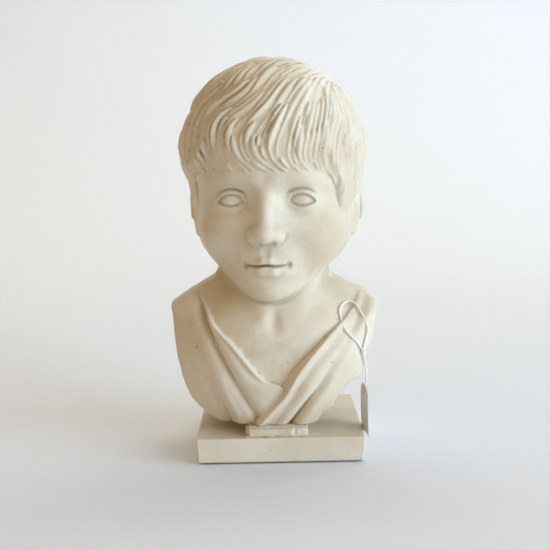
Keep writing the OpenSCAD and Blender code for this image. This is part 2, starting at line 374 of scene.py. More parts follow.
def points_of(thing):
    flat = np.empty(len(thing.data.vertices) * 3, np.float32)
    thing.data.vertices.foreach_get("co", flat)
    return flat.reshape(-1, 3) / MM


def set_points(thing, points):
    thing.data.vertices.foreach_set("co", (np.asarray(points) * MM).astype(np.float32).ravel())
    thing.data.update()


def thinned(thing, keep):
    """The object with only this share of its triangles, fewest where it is flat."""
    thinner = thing.modifiers.new("thin", "DECIMATE")
    thinner.ratio = keep
    ready = thing.evaluated_get(bpy.context.evaluated_depsgraph_get())
    mesh = bpy.data.meshes.new_from_object(ready)
    thing.modifiers.remove(thinner)
    thing.data = mesh
    return thing


def add_attribute(thing, name, values):
    layer = thing.data.attributes.new(name, "FLOAT", "POINT")
    layer.data.foreach_set("value", np.asarray(values, np.float32))


# ---------------------------------------------------------------- The head

BUST_LOW, BUST_HIGH = node_box("bust")
BUST_BOTTOM = BUST_LOW[2]
HEAD_CENTRE = (-2, 12, 241)
HEAD_TURN = math.radians(6)
HEAD_NOD = math.radians(2)
HAIR_CENTRE = (0, 9, 22)
HAIR_RADII = (82, 91, 83.5)


def to_head(p):
    """World point to the head's own axes: origin at its centre, face along -Y."""
    x, y, z = (p[i] - HEAD_CENTRE[i] for i in range(3))
    c, s = math.cos(HEAD_TURN), math.sin(HEAD_TURN)
    x, y = c * x - s * y, s * x + c * y
    c, s = math.cos(HEAD_NOD), math.sin(HEAD_NOD)
    return x, c * y + s * z, -s * y + c * z


def fold(x, softness=1.6):
    """Distance from the middle plane, eased so that nothing creases there. It draws features in pairs."""
    return np.sqrt(x * x + softness ** 2) - softness


def eyes(side, face):
    """Blank eyes, set under plain lids."""
    x, y, z = side
    eye = (28, -50.5, -14)
    face = carve(face, ball(side, (25, -80, -12.5), (19, 19.0, 11)), 11)
    along, height = x - eye[0], z - eye[2]
    upper_arc = np.hypot(along, height + 8.8) - 15.0
    lower_arc = np.hypot(along, height - 19.6) - 25.3
    opening = np.maximum(upper_arc, lower_arc)
    lids = meet(ball(side, eye, (15.6, 15.4, 14.4)), -opening, 1.2)
    face = join(face, lids, 5)
    face = join(face, ball(side, eye, (14.0, 13.7, 13.2)), 0.6)
    front = ramp(-y, 48, 56)
    crease = 1.2 * bump(upper_arc - 3.9, 1.2) * ramp(-np.abs(along), -16, -9) * ramp(height, -1, 3) * front
    return face + crease


def brows(side, face):
    face = join(face, rod(side, (8, -67, 3), (27, -61.5, 6.0), 4, 3.6), 13)
    return join(face, rod(side, (27, -61.5, 6.0), (46, -46, 0), 3.6, 3), 13)


def nose(p, side, face):
    face = join(face, rod(p, (0, -58, -6), (0, -65, -41), 7, 11.5), 12)
    face = join(face, rod(p, (0, -68.5, -6), (0, -80.0, -36), 4.6, 5.4), 10)
    face = join(face, ball(p, (0, -81.5, -41.0), (7.8, 7.8, 7.0)), 8)
    face = join(face, ball(side, (9.0, -74.0, -43.6), (5.0, 7.6, 5.6)), 7)
    wing = np.sqrt((side[0] - 9.0) ** 2 + ((side[1] + 75) * 0.75) ** 2 + (side[2] + 43.2) ** 2)
    face = face + 0.8 * bump(wing - 7.6, 1.6) * ramp(side[0], 8, 12) * ramp(-side[2], 38, 44)
    return carve(face, ball(side, (4.8, -78.5, -49.6), (2.5, 4.4, 2.6)), 2.0)


def mouth(p, side, face):
    x, y, z = side
    face = join(face, ball(p, (0, -54, -66), (26, 17.5, 18)), 14)
    face = join(face, ball(p, (0, -52, -80), (22, 15, 12)), 12)
    front = ramp(-y, 56, 64)
    philtrum = 0.6 * bump(p[0], 2.6) - 0.3 * bump(x - 3.8, 2.2)
    face = face + philtrum * ramp(z, -64.5, -61.5) * ramp(-z, 52, 55) * front
    upper = rod(side, (1.6, -71.4, -65.4), (16.5, -65.0, -68.2), 4.6, 1.9)
    lower = rod(p, (-4, -69.9, -73.6), (4, -69.9, -73.6), 6.5)
    lower = join(lower, rod(side, (3, -69.6, -73.6), (14.5, -65.2, -70.9), 5.8, 2.2), 2)
    face = join(join(face, upper, 1.9), lower, 1.7)
    part_height = -69.0 + 0.8 * bump(p[0], 4.5) - 0.4 * bump(x - 8, 4)
    face = face + 2.2 * bump(z - part_height, 1.0) * ramp(-x, -18.5, -13) * front
    face = carve(face, ball(side, (17.0, -68.4, -69.2), (1.4, 3.4, 1.6)), 4)
    return face + 1.3 * bump(z + 81.5, 3.4) * bump(x, 13) * front


EAR_LEAN = math.radians(24)


def ears(side, head):
    """An ear on each side, on a plate that leans out from the head towards the back."""
    out, back = side[0] - 66.5, side[1] - 3
    c, s = math.cos(EAR_LEAN), math.sin(EAR_LEAN)
    q = (out * c - back * s, out * s + back * c, side[2] + 27)
    shell = ball(q, (0.3, 10, 1), (3.0, 12.0, 20.5))
    around = np.hypot((q[1] - 10) / 11.6, (q[2] - 1.5) / 20.0)
    rim = np.hypot((around - 1) * 13, q[0] - 2.4) - 2.3 + 5 * ramp(-q[2], 9, 18)
    shell = join(shell, rim, 1.6)
    shell = join(shell, ball(q, (0.6, 6.5, -20), (3.1, 6.2, 6.8)), 4)
    inner = np.hypot((q[1] - 8.2) / 7.4, (q[2] + 3) / 12.0)
    ridge = np.hypot((inner - 1) * 9, q[0] - 2.2) - 1.7 + 4 * ramp(-q[1], -8, -4)
    shell = join(shell, ridge, 1.6)
    shell = carve(shell, ball(q, (4.8, 6.4, -4), (4.6, 5.2, 7.6)), 2)
    shell = join(shell, ball(q, (1.8, -1.2, -6), (2.8, 3.0, 4.8)), 2.5)
    return join(head, shell, 3.5)


def skin(p, side):
    """The face and skull without hair or ears. Both sides are alike."""
    head = ball(p, (0, 8, 18), (73, 84.5, 70))
    head = join(head, ball(p, (0, 20, -18), (68, 62, 48)), 12)
    head = join(head, ball(p, (0, -10, -34), (60, 61, 66)), 16)
    head = join(head, ball(side, (46, 8, -42), (20, 30, 28)), 18)
    head = join(head, rod(side, (44, -2, -50), (14, -44, -84), 17, 14), 16)
    head = join(head, ball(side, (31, -34, -44), (27, 28, 24)), 16)
    head = join(head, ball(p, (0, -55, -91), (17, 15.5, 12.5)), 14)
    head = join(head, ball(p, (0, -24, -88), (26, 26, 12)), 12)
    head = brows(side, head)
    head = eyes(side, head)
    head = nose(p, side, head)
    return mouth(p, side, head)


# Where the hair stops: angle round the head (0 is the front, positive is the viewer's right) and height
HAIRLINE = (
    (-180, -84), (-150, -80), (-125, -68), (-108, -50), (-99, -16), (-92, -3), (-75, 3), (-60, 7), (-40, 11),
    (0, 12), (30, 10), (44, 5), (56, -8), (66, -27), (76, -36), (84, -22), (92, -10), (100, -20), (110, -52),
    (125, -68), (150, -80), (180, -84),
)
# How fast the hair gets thicker above its lower edge, in front and at the sides
FRINGE_SLOPE = 0.30
TEMPLE_SLOPE = 0.75
# The whorl that the hair grows from, as a direction from the middle of the head
WHORL = np.array((0.72, 0.02, 0.69)) / np.linalg.norm((0.72, 0.02, 0.69))
WHORL_SPIN = math.radians(36)
LOCK_SPACING = 4.7
LOCK_WIDTH = 3.2
LOCK_HEIGHT = 3.7
TRACE_STEP = 1.6
MAP_SIZE = 1100
MAP_REACH = 1.96


def hair_shell_point(way):
    return np.asarray(HAIR_CENTRE) + np.asarray(HAIR_RADII) * way


def hairline_height(point):
    """Where the hair stops below a point, whose last axis is across, back and up."""
    angle = np.degrees(np.arctan2(point[..., 0], -point[..., 1]))
    return np.interp(angle, [a for a, _ in HAIRLINE], [h for _, h in HAIRLINE])


def comb_direction(point, way):
    """Which way the hair is combed at a point: round the whorl, then down, curling at the fringe."""
    normal = way / HAIR_RADII
    normal /= np.linalg.norm(normal)
    from_whorl = way - WHORL
    away = from_whorl - normal * from_whorl.dot(normal)
    away /= max(np.linalg.norm(away), 1e-6)
    distance = math.acos(max(-1.0, min(1.0, way.dot(WHORL))))
    swirl = math.cos(WHORL_SPIN) * away + math.sin(WHORL_SPIN) * np.cross(normal, away)
    down = np.array((0.0, 0.0, -1.0))
    down -= normal * down.dot(normal)
    above = point[2] - hairline_height(point)
    high = min(max((above - 38) / 34, 0.0), 1.0)
    hold = math.exp(-((distance / 1.5) ** 3)) * (0.25 + 0.75 * high)
    combed = hold * swirl + (1 - hold) * down
    frontness = max(0.0, 1 - abs(math.atan2(point[0] + 4, -point[1])) / 1.6)
    right = np.cross(normal, np.array((0.0, 0.0, 1.0)))
    curl = 1.0 * min(1.0, frontness * 1.5) * math.exp(-((above / 14) ** 2))
    combed = combed - right * curl
    bow = 0.9 * min(1.0, frontness * 1.5) * math.exp(-(((above - 56) / 21) ** 2))
    combed = combed + right * bow
    phase = point[2] / 8.5 + 2.2 * math.sin(point[0] / 31.0) + 1.7 * math.sin(point[1] / 27.0)
    turned = combed + 0.20 * math.sin(phase) * np.cross(normal, combed)
    turned -= normal * turned.dot(normal)
    return turned / max(np.linalg.norm(turned), 1e-6)


AROUND = [(a, b, c) for a in (-1, 0, 1) for b in (-1, 0, 1) for c in (-1, 0, 1)]


class Crowd:
    """Points already taken on the head, kept in boxes so that near ones are quick to find."""

    def __init__(self, size):
        self.size = size
        self.boxes = {}

    def key(self, point):
        return tuple(int(math.floor(c / self.size)) for c in point)

    def add(self, point):
        self.boxes.setdefault(self.key(point), []).append(point)

    def near(self, point, gap):
        i, j, k = self.key(point)
        for a, b, c in AROUND:
            for other in self.boxes.get((i + a, j + b, k + c), ()):
                if math.dist(other, point) < gap:
                    return True
        return False


def trace_lock(start, crowd, sign, longest, tip):
    """Follows the combing from a point until it meets another lock or the hairline."""
    points = []
    way = start
    for _ in range(int(longest / TRACE_STEP)):
        point = hair_shell_point(way)
        direction = comb_direction(point, way)
        moved = point + sign * direction * TRACE_STEP
        way = (moved - HAIR_CENTRE) / HAIR_RADII
        way /= np.linalg.norm(way)
        moved = hair_shell_point(way)
        if moved[2] < hairline_height(moved) + tip or crowd.near(moved, LOCK_SPACING * 0.76):
            break
        if sign < 0 and math.acos(min(1.0, way.dot(WHORL))) < 0.05:
            break
        points.append(moved)
    return points


def grow_locks(rng):
    """Evenly spaced locks all over the head, as lists of points."""
    crowd = Crowd(LOCK_SPACING)
    tries = 9000
    heights = rng.uniform(-0.92, 1, tries)
    angles = rng.uniform(-math.pi, math.pi, tries)
    locks = []
    for height, angle in zip(heights, angles):
        flat = math.sqrt(1 - height * height)
        way = np.array((flat * math.sin(angle), -flat * math.cos(angle), height))
        start = hair_shell_point(way)
        if start[2] < hairline_height(start) + 3 or crowd.near(start, LOCK_SPACING * 0.86):
            continue
        longest = rng.uniform(40, 75)
        tip = rng.uniform(-4, 3)
        forward = trace_lock(way, crowd, 1, longest * 0.7, tip)
        backward = trace_lock(way, crowd, -1, longest * 0.7, tip)
        lock = backward[::-1] + [start] + forward
        if len(lock) * TRACE_STEP < 7:
            continue
        for point in lock:
            crowd.add(tuple(point))
        locks.append(np.array(lock))
    return locks


def map_directions():
    """The direction that each place on the hair map stands for, and the size of one place."""
    axis = np.linspace(-MAP_REACH, MAP_REACH, MAP_SIZE)
    u, v = np.meshgrid(axis, axis, indexing="ij")
    squared = np.minimum(u * u + v * v, 3.99)
    flat = np.sqrt(1 - squared / 4)
    return np.stack((u * flat, v * flat, 1 - squared / 2), -1), axis[1] - axis[0]


def lock_profile(lock, rng):
    """A lock's half-width and height at each of its points: fullest in its first half, then fine."""
    count = len(lock)
    travelled = np.arange(count) * TRACE_STEP
    from_end = np.minimum(travelled + 2.0, (count - 1 - travelled) * 0.9 + 1.2)
    taper = np.clip(from_end / 11, 0, 1) ** 0.7
    widths = LOCK_WIDTH * (0.32 + 0.68 * taper) * rng.uniform(0.8, 1.15)
    relief = np.interp(lock[:, 0], (-60, -20, 20, 60), (1.35, 1.0, 1.0, 0.65))
    return widths, LOCK_HEIGHT * relief * (0.45 + 0.55 * taper) * rng.uniform(0.65, 1.15)


def window_at(point, width, pixel):
    """The part of the hair map within reach of a point on a lock."""
    way = (point - HAIR_CENTRE) / HAIR_RADII
    way /= np.linalg.norm(way)
    stretch = math.sqrt(2 / (1 + way[2]))
    row, column = (int((way[i] * stretch + MAP_REACH) / pixel) for i in (0, 1))
    half = int((width + TRACE_STEP) / HAIR_RADII[0] * max(stretch, 1) / pixel) + 2
    return tuple(slice(max(place - half, 0), place + half + 1) for place in (row, column))


def hair_map():
    """The hair's height over the head, on an equal-area map of directions seen from above."""
    rng = np.random.default_rng(41)
    ways, pixel = map_directions()
    points = hair_shell_point(ways).astype(np.float32)
    above = points[..., 2] - hairline_height(points)
    height = (3.0 * ramp(above, -4, 4) - 3.0).astype(np.float32)
    for lock in grow_locks(rng):
        widths, tops = lock_profile(lock, rng)
        for index, (start, end) in enumerate(zip(lock, lock[1:])):
            window = window_at((start + end) / 2, widths[index], pixel)
            patch = points[window]
            along = end - start
            t = np.clip(((patch - start) @ along) / along.dot(along), 0, 1)
            gap = np.linalg.norm(patch - start - t[..., None] * along, axis=-1)
            width = widths[index] + (widths[index + 1] - widths[index]) * t
            top = tops[index] + (tops[index + 1] - tops[index]) * t
            crown = top * np.clip(1 - (gap / width) ** 1.6, 0, 1) + np.where(gap < width, 0.0, -99)
            height[window] = np.maximum(height[window], crown)
    for axis in (0, 1, 0, 1):
        height = (np.roll(height, 1, axis) + 2 * height + np.roll(height, -1, axis)) / 4
    return height.astype(np.float32)


HAIR_MAP = hair_map()


def hair_height(p):
    """The hair's height at a point in the head's own axes, read from the map."""
    q = [(p[i] - HAIR_CENTRE[i]) / HAIR_RADII[i] for i in range(3)]
    size = np.sqrt(q[0] ** 2 + q[1] ** 2 + q[2] ** 2) + 1e-6
    up = np.maximum(q[2] / size, -0.93)
    stretch = np.sqrt(2 / (1 + up)) / size
    scale = (MAP_SIZE - 1) / (2 * MAP_REACH)
    row = np.clip((q[0] * stretch + MAP_REACH) * scale, 0, MAP_SIZE - 1.001)
    column = np.clip((q[1] * stretch + MAP_REACH) * scale, 0, MAP_SIZE - 1.001)
    i, j = row.astype(int), column.astype(int)
    a, b = row - i, column - j
    near = HAIR_MAP[i, j] * (1 - a) * (1 - b) + HAIR_MAP[i + 1, j] * a * (1 - b)
    return near + HAIR_MAP[i, j + 1] * (1 - a) * b + HAIR_MAP[i + 1, j + 1] * a * b


def hair(p, scalp):
    """A shell that carries the locks, thinning out to a fringe on the scalp."""
    shell = ball(p, HAIR_CENTRE, HAIR_RADII)
    shell = join(shell, ball(p, (0, 22, -12), (76, 74, 62)), 14)
    locks = hair_height(p)
    above = p[2] - hairline_height(np.stack(p, -1))
    slope = FRINGE_SLOPE + (TEMPLE_SLOPE - FRINGE_SLOPE) * ramp(np.abs(p[0]), 50, 68)
    return meet(shell - locks - 0.35 * ripple(p, 36, 12), scalp - 0.8 * locks - slope * above, 2)


def head(p):
    q = to_head(p)
    side = (fold(q[0]), q[1], q[2])
    scalp = skin(q, side)
    return join(ears(side, scalp), hair(q, scalp), 0.8)


# ---------------------------------------------------------------- Neck, chest and tunic

CHEST_CENTRE = (0, -2, 76)
CHEST_RADII = (90, 66, 72)
CLOTH = 3.6
CREST = 10.2


def drawn_line(*points):
    """A smooth line on the chest, from points given as (across, height), seen from the front."""
    return smooth_route(points, 3)


# These began as readings off the photograph, turned into millimetres, and were then changed
LEFT_EDGE = drawn_line((-82, 156), (-74, 146), (-66, 135), (-60, 126), (-55, 118), (-48, 111),
                       (-38, 102), (-28, 91), (-18, 79), (-9, 72), (-1, 69), (7, 63))
RIGHT_EDGE = drawn_line((68, 156), (71, 145), (71, 137), (66, 128), (59, 121), (52, 116), (43, 109),
                        (32, 99), (22, 91), (14, 84), (3, 73), (-2, 68))
RIGHT_CREST = drawn_line((70, 157), (73, 146), (73, 137), (68, 128), (60, 122), (53, 117), (41, 107),
                         (32, 98), (23, 88), (15, 78), (10, 69), (4, 59), (-5, 49), (-14, 38), (-24, 25))
LEFT_GROOVE = drawn_line((-82, 160), (-69, 134), (-59.5, 113), (-46, 87), (-30, 60), (-21, 44), (-13, 31),
                         (-8, 22))
LEFT_CREASE = drawn_line((-56, 68), (-51, 54), (-45, 40), (-41, 24))
OUTER_CREASE = drawn_line((-67, 82), (-61, 64), (-54, 47), (-49, 34))
RIGHT_GROOVE = drawn_line((78, 158), (79, 140), (69, 119), (55, 99), (43, 84), (34, 67), (26, 57), (18, 46),
                          (10, 34), (4, 24))
RIGHT_CREASE = drawn_line((42, 100), (30, 87), (20, 73), (10, 56), (0, 40), (-8, 27))

BUST_OUTLINE = (
    (-58, 153), (-78, 142), (-97, 130), (-94, 119), (-92.5, 100), (-91, 86), (-86, 66), (-79, 50),
    (-71, 41), (-62, 34.5), (-50, 30.5), (-40, 28), (24, 28), (31, 33.5), (38, 42), (46, 49), (52, 57),
    (58, 64), (64, 67), (70, 72), (74, 80), (77, 91), (83, 102), (86, 118), (89, 131), (80, 137), (70, 141),
    (49, 152), (40, 175), (-45, 175),
)


def edge_inside(p):
    """How far a point is inside the neck opening of the tunic, from each side."""
    left = np.interp(p[2], LEFT_EDGE[::-1, 1], LEFT_EDGE[::-1, 0])
    right = np.interp(p[2], RIGHT_EDGE[::-1, 1], RIGHT_EDGE[::-1, 0])
    lean = 0.70
    return (p[0] - left) * lean, (right - p[0]) * lean


def groove(across, height, line, shallow, deep, width):
    """A groove along a line on the chest: it fades in at its top and is deeper at the bottom."""
    gap, side = line_distance(across, height, line)
    depth = shallow + (deep - shallow) * ramp(-height, -85, -42)
    depth = depth * ramp(line[0, 1] - height, -2, 18)
    return -depth * np.exp(-((gap / width) ** 1.3)), gap * side


def left_of_crest(x, z, left, past_left, past_low, crest):
    """A rolled edge, a rounded panel down to its groove, then broad folds."""
    across = np.clip(-left / np.maximum(-left - past_left, 1), 0, 1)
    roll = 2.0 * bump(left + 1.8, 1.8) * ramp(z, 66, 82)
    panel = 3.2 * np.sqrt(np.maximum(1 - (2 * across - 1) ** 2, 0)) * ramp(-past_left, 0, 3)
    panel = panel - 1.0 * bump(across - 0.30, 0.14) * ramp(z, 62, 80)
    folds = 3.4 * ramp(past_left, 0, 9) - 1.6 - 1.4 * ramp(past_left, 12, 26) + 1.6 * bump(past_low + 6, 4)
    folds = folds * ramp(past_left, -1, 1)
    folds = folds + 0.7 * np.cos((x + 0.42 * (z - 80)) / 3.9) * ramp(past_left, 9, 18)
    return CLOTH + roll + panel + folds - 1.6 * bump(crest + 5, 4) * ramp(-z, -72, -60)


def right_of_crest(x, z, crest, crest_height, past_right):
    """A band with two flat ridges that ends at its groove, with flatter cloth beyond."""
    band = crest_height - 5.0 * ramp(crest, 0.3, 7) * ramp(-z, -122, -98) + 2.2 * bump(crest - 14, 6)
    beyond = 2.2 * ramp(past_right, 0.5, 8) - 2.0 * ramp(past_right, 9, 22)
    return band + beyond + 0.7 * np.cos((x - 0.55 * (z - 60)) / 4.5) * ramp(past_right, 7, 14)


def turned_in(z, right, crest_gap, crest_height):
    """The right cloth's side between the skin and the crest, with a groove along the skin."""
    slope_in = np.clip(-right / np.maximum(-right + crest_gap, 0.5), 0, 1)
    return 1.0 + (crest_height - 1.0) * slope_in ** 2 - 2.4 * bump(right + 1.2, 1.4) * ramp(-z, -116, -104)


def cloth_height(p):
    """How far the tunic stands out from the skin, seen from the front. Its left side laps over its right."""
    x, y, z = p
    left, right = edge_inside(p)
    left_cut, past_left = groove(x, z, LEFT_GROOVE, 2.8, 4.8, 2.3)
    right_cut, before_right = groove(x, z, RIGHT_GROOVE, 0.7, 6.0, 2.6)
    low_cut, past_low = groove(x, z, LEFT_CREASE, 1.0, 3.0, 2.4)
    outer_cut, _ = groove(x, z, OUTER_CREASE, 0.6, 1.6, 3.6)
    middle_cut, _ = groove(x, z, RIGHT_CREASE, 0.9, 1.8, 3.0)
    crest_gap, crest_side = line_distance(x, z, RIGHT_CREST)
    crest = -crest_gap * crest_side
    crest_height = CLOTH + (CREST - CLOTH) * ramp(-z, -122, -98)
    left_cloth = left_of_crest(x, z, left, past_left, past_low, crest)
    between = turned_in(z, right, crest_gap, crest_height)
    lapped = np.maximum(np.where(left < 0, left_cloth, 0), np.where(right < 0, between, 0))
    lapped = np.maximum(lapped, crest_height - 1.9 * crest_gap)
    height = np.where(crest > 0, right_of_crest(x, z, crest, crest_height, -before_right), lapped)
    height = height + left_cut * ramp(-crest, 1, 6) + right_cut + low_cut + outer_cut + middle_cut
    height = height * (0.3 + 0.7 * ramp(-z, -142, -116))
    bare = ramp(np.minimum(left, right), -0.5, 0.5)
    return np.maximum(height, 0) * (1 - bare)


def chest_skin(p):
    mass = ball(p, CHEST_CENTRE, CHEST_RADII)
    for side in (-1, 1):
        mass = join(mass, ball(p, (side * 80, 10, 108), (28, 25, 24)), 30)
        mass = join(mass, rod(p, (side * 34 - 4, 22, 158), (side * 80, 14, 112), 20, 20), 24)
    mass = join(mass, ball(p, (-3, 12, 132), (52, 40, 13)), 20)
    x, y, z = p
    notch = 4.2 * bump(np.hypot((x + 4) / 0.7, z - 120), 8) + 1.4 * bump(np.hypot(x - 2, z - 98), 13)
    throat = 1.8 * bump(np.hypot(x + 14, (z - 127) * 0.8), 8)
    collar_bones = 1.3 * bump(z - 112 - 0.10 * np.abs(x - 2), 6) * ramp(np.abs(x - 2), 12, 26)
    return mass + (notch - throat - collar_bones) * ramp(-y, 15, 38)


def neck(p):
    column = rod(p, (-2, 24, 214), (-3, 16, 122), 43, 48)
    for side in (-1, 1):
        cord = rod(p, (side * 42 - 3, 4, 180), (side * 9 + 3, -43, 117), 9, 6)
        column = join(column, cord, 12)
    return column


def outline_distance(p, points):
    """Distance from a closed outline seen from the front, less than 0 inside it."""
    x, z = p[0], p[2]
    closed = points + points[:1]
    gap, _ = line_distance(x, z, closed)
    inside = np.zeros(x.shape, bool)
    for (x0, z0), (x1, z1) in zip(closed, closed[1:]):
        spans = (z0 > z) != (z1 > z)
        crossing = x0 + (z - z0) * (x1 - x0) / (z1 - z0 if z1 != z0 else 1e-6)
        inside ^= spans & (x < crossing)
    return np.where(inside, -gap, gap)


BACK_SLANT = math.radians(17)
BACK_DEPTH = 32
ROD_X = 0.5
PILLAR_FRONT = -44
PILLAR_HALF_WIDTH = 18
NECK_TOP = 180
CHIN_LEVEL = 122
BLOCK_LOW, BLOCK_HIGH = node_box("support_block")
GROUT_LOW, GROUT_HIGH = node_box("grout_plug")
GROUT_RADIUS = (GROUT_HIGH[0] - GROUT_LOW[0]) / 2 + 0.2
ROD_Y = (GROUT_LOW[1] + GROUT_HIGH[1]) / 2


def chest(p):
    x, y, z = p
    skin_field = chest_skin(p)
    fade = ramp(-y, -30, 10)
    body = skin_field - cloth_height(p) * (0.35 + 0.65 * fade)
    through = (x, y * 0.35, z)
    broken_edge = 2.2 * ripple(through, 13, 5) + 1.0 * ripple(through, 5, 7) + 0.3 * ripple(p, 4, 11)
    broken = broken_edge * ramp(x, 20, 40) * ramp(-z, -104, -90) + 0.25 * ripple(p, 9, 6)
    body = meet(body, outline_distance(p, BUST_OUTLINE) + broken, 1.8)
    back = math.cos(BACK_SLANT) * (y - BACK_DEPTH) - math.sin(BACK_SLANT) * (z - BUST_BOTTOM)
    tooling = 0.45 * ripple(p, 5, 8)
    body = meet(body, back + tooling, 4)
    scoop = ball(p, (0, 34, 74), (62, 57, 44))
    scoop = join(scoop, ball(p, (0, 40, 30), (58, 34, 40)), 16)
    return carve(body, scoop + 0.9 * ripple(p, 8, 9), 6)


def from_rod(p):
    """Distance from the line up the middle of the threaded rod."""
    return np.hypot(p[0] - ROD_X, p[1] - ROD_Y)


def bored(p, body, radius, top):
    """The solid with a round hole up the rod's line, from below to this height."""
    return np.maximum(body, -np.maximum(from_rod(p) - radius, p[2] - top))


def pillar(p):
    """The rough column that was left standing in the hollow back, leaning with it."""
    low = (ROD_X - PILLAR_HALF_WIDTH, PILLAR_FRONT, BUST_BOTTOM - 12)
    high = (ROD_X + PILLAR_HALF_WIDTH, 20, 120)
    lean = (p[2] - BUST_BOTTOM) * 0.1
    return slab((p[0], p[1] - lean, p[2]), low, high, 5) + 0.5 * ripple(p, 7, 10)


def bust_field(p):
    body = only_where(p[2] < NECK_TOP, p, chest, p[2] - NECK_TOP + 20)
    body = join(body, neck(p), 10)
    body = join(body, pillar(p), 6)
    body = join(body, only_where(p[2] > CHIN_LEVEL, p, head, CHIN_LEVEL + 8 - p[2]), 2.5)
    body = np.maximum(body, BUST_BOTTOM - p[2])
    body = bored(p, body, GROUT_RADIUS, GROUT_HIGH[2] + 0.5)
    return body + 0.05 * ripple(p, 9, 3, layers=16)


BUST_CELL = 1.15
BUST_KEEP = 0.55
PIT_COUNT = 90


def wear_pits(thing, field, seed, count, largest):
    """Small round pits at random points, but none on the face, sunk in and noted for the material."""
    rng = np.random.default_rng(seed)
    points = points_of(thing)
    depth = np.zeros(len(points))
    for _ in range(count):
        centre = points[rng.integers(len(points))]
        if centre[1] < -30 and 150 < centre[2] < 245:
            continue
        radius = largest * rng.uniform(0.35, 1) ** 1.5
        gap = np.linalg.norm(points - centre, axis=1)
        depth = np.maximum(depth, bump(gap, radius) * min(1.0, radius))
    set_points(thing, points - outward(field, points) * depth[:, None])
    add_attribute(thing, "pit", depth)


def make_bust():
    low, high = BUST_LOW - 6, BUST_HIGH + 6
    thing = sculpt("carved_bust", bust_field, low, high, BUST_CELL, 2.5, 7.0, keep=BUST_KEEP)
    wear_pits(thing, bust_field, 23, PIT_COUNT, 1.7)
    return thing


# ---------------------------------------------------------------- Base, block and beds

BASE_LOW, BASE_HIGH = node_box("base_slab")
BASE_DRAFT = 1.2
RECESS_RADIUS = 15
RECESS_DEPTH = 12
ROD_HOLE_RADIUS = 4.2
STRETCH = 4.0


def base_field(p):
    x, y, z = p
    lean = 1 + BASE_DRAFT / BASE_HIGH[0] * (BASE_HIGH[2] - z) / (BASE_HIGH[2] - BASE_LOW[2])
    body = slab((x * lean, y * lean, z), BASE_LOW, BASE_HIGH, 0.9)
    edge_wear = np.maximum(ripple(p, 10, 31) + 0.8 * ripple(p, 4.5, 32) - 1.3, 0)
    body = body + 0.05 * ripple(p, 22, 33) + 0.04 * ripple(p, 5, 34)
    corner = np.abs(x) - BASE_HIGH[0] + 1.5, np.abs(y) - BASE_HIGH[1] + 1.5, z - BASE_HIGH[2] + 1.5
    near_edge = ramp(np.sort(np.stack(corner), axis=0)[1], -2, 1.5)
    body = body + 0.9 * edge_wear * near_edge
    body = bored(p, body, RECESS_RADIUS, BASE_LOW[2] + RECESS_DEPTH)
    return bored(p, body, ROD_HOLE_RADIUS, BASE_HIGH[2] + 5)


def block_field(p):
    body = slab(p, BLOCK_LOW + (0.9, 0.9, -3), BLOCK_HIGH + (-0.9, -0.9, 3), 1.2)
    body = carve(body, ball(p, (12, BLOCK_LOW[1] - 0.4, BLOCK_LOW[2] + 5), (2.0, 2.6, 8)), 1.5)
    broken_corner = (BLOCK_LOW[0] + 5 - p[0] + (BLOCK_LOW[1] - p[1]) * 0.6) * 0.86
    through = p[0], p[1], p[2] * 0.4
    body = meet(body, broken_corner, 1.5) + 0.3 * ripple(through, 15, 35) + 0.12 * ripple(p, 4, 36)
    body = np.maximum(body, np.maximum(BLOCK_LOW[2] - p[2], p[2] - BLOCK_HIGH[2]))
    return bored(p, body, ROD_HOLE_RADIUS, BLOCK_HIGH[2] + 5)


def stretched(q):
    """A thin sheet is drawn several times too thick, so that a coarse cell can hold it."""
    return q[0], q[1], q[2] / STRETCH


def thin_again(points):
    return points / (1, 1, STRETCH)


def sculpt_sheet(name, node, field, cell):
    """A thin flat piece in the place of its CAD node."""
    tall = np.array((1, 1, STRETCH))
    low, high = node_box(node)
    return sculpt(name, field, low * tall - 3, high * tall + 3, cell, 1.5, shape=thin_again)


def make_bed(name, node, seed):
    """A plaster bed with an uneven edge."""
    low, high = node_box(node)

    def field(q):
        p = stretched(q)
        edge = np.maximum(past_span(p[0], low[0], high[0]), past_span(p[1], low[1], high[1]))
        edge = edge + 0.8 + 0.8 * ripple((p[0], p[1], 0 * p[2]), 7, seed)
        face = past_span(p[2], low[2], high[2]) * STRETCH
        return bored(p, meet(edge, face, 1.2), ROD_HOLE_RADIUS, high[2] + 5)
    return sculpt_sheet(name, node, field, 0.9)


def felt_field(q):
    x, y, z = stretched(q)
    low, high = node_box("felt_sheet")
    edge = slab((x, y, 0 * z), (low[0], low[1], -9), (high[0], high[1], 9), 1.5)
    edge = edge + 0.25 * ripple((x, y, 0 * z), 6, 38)
    face = past_span(z, low[2], high[2]) * STRETCH
    return meet(edge, face + 0.3 * ripple(q, 3, 39), 2.5)


# ---------------------------------------------------------------- Fixing

ROD_LOW, ROD_HIGH = node_box("threaded_rod")
THREAD_PITCH = 1.25
THREAD_DEPTH = 0.7
NUT_LOW, NUT_HIGH = node_box("hex_nut")
NUT_HALF_FLATS = 6.5
NUT_CHAMFER_START = 7.1
NUT_BORE_RADIUS = 4.1


